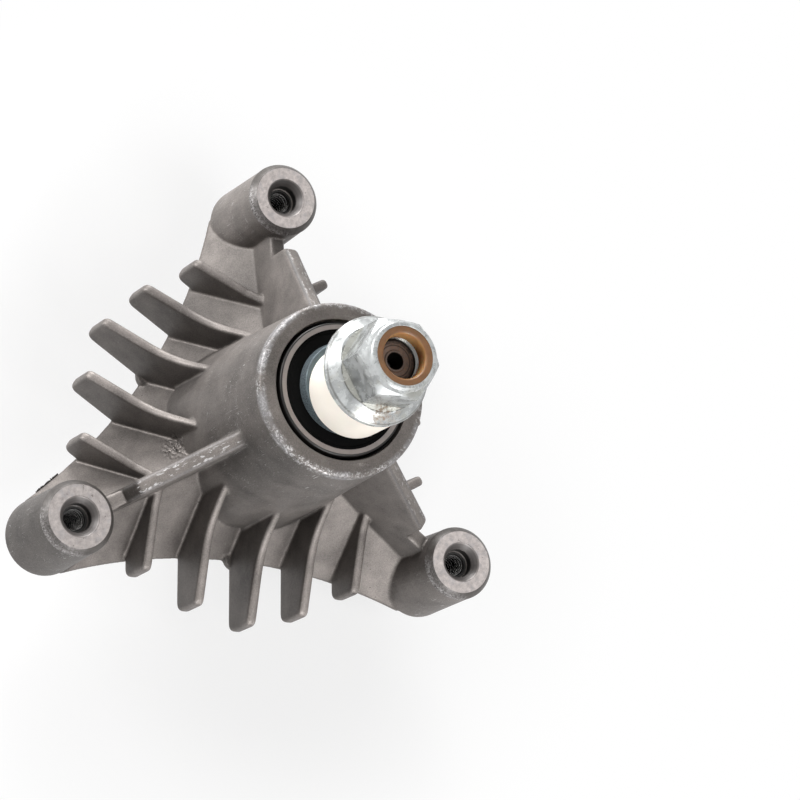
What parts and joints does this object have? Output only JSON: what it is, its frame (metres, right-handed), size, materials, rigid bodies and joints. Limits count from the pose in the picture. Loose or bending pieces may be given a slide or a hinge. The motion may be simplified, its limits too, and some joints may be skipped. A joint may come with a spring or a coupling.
{
  "type": "mower deck spindle",
  "caption": "Finned cast three-leg mower deck spindle with sealed ball bearings, shaft, plastic sleeve and flanged lock nut.",
  "frame": {"origin": "on the shaft axis, in the plane of the three boss faces that bolt against the deck", "axes": "+Z along the shaft axis towards the lock nut; +Y from the axis towards one of the three bosses"},
  "size_m": [0.1486, 0.1434, 0.1442],
  "materials": {
    "cast_aluminium": "as cast, matte, bright where machined",
    "dark_steel": "dark, turned",
    "bright_steel": "turned",
    "blue_zinc": "bluish zinc, sheared rim",
    "bright_zinc": "bright zinc, satin",
    "cream_plastic": "moulded, satin",
    "amber_nylon": "satin",
    "bearing_ring": "ground",
    "bearing_ball": "polished",
    "bearing_cage": "pressed sheet",
    "bearing_seal": "moulded rubber"
  },
  "bodies": {
    "housing": {"housing": "cast_aluminium", "top_bearing_outer_ring": "bearing_ring", "top_bearing_upper_seal": "bearing_seal", "top_bearing_lower_seal": "bearing_seal", "lower_bearing_outer_ring": "bearing_ring", "lower_bearing_upper_seal": "bearing_seal", "lower_bearing_lower_seal": "bearing_seal"},
    "spindle": {"spindle_shaft": "dark_steel", "top_bearing_inner_ring": "bearing_ring", "lower_bearing_inner_ring": "bearing_ring", "spacer_tube": "bright_steel", "thrust_washer": "blue_zinc", "plastic_sleeve": "cream_plastic", "flange_lock_nut": "bright_zinc", "nylon_lock_ring": "amber_nylon"},
    "top_cage": {"top_bearing_balls": "bearing_ball", "top_bearing_cage_upper_half": "bearing_cage", "top_bearing_cage_lower_half": "bearing_cage", "top_bearing_cage_rivets": "bearing_cage"},
    "lower_cage": {"lower_bearing_balls": "bearing_ball", "lower_bearing_cage_upper_half": "bearing_cage", "lower_bearing_cage_lower_half": "bearing_cage", "lower_bearing_cage_rivets": "bearing_cage"}
  },
  "joints": [
    {"name": "spindle_spin", "type": "hinge", "parent": "housing", "child": "spindle", "pos_m": [0, 0, 0], "axis": [0, 0, 1], "continuous": true},
    {"name": "top_cage_spin", "type": "hinge", "parent": "housing", "child": "top_cage", "pos_m": [0, 0, 0.04], "axis": [0, 0, 1], "continuous": true},
    {"name": "lower_cage_spin", "type": "hinge", "parent": "housing", "child": "lower_cage", "pos_m": [0, 0, -0.032], "axis": [0, 0, 1], "continuous": true}
  ],
  "couplings": [
    {"joint": "top_cage_spin", "follows": "spindle_spin", "ratio": 0.3816},
    {"joint": "lower_cage_spin", "follows": "spindle_spin", "ratio": 0.3816}
  ]
}
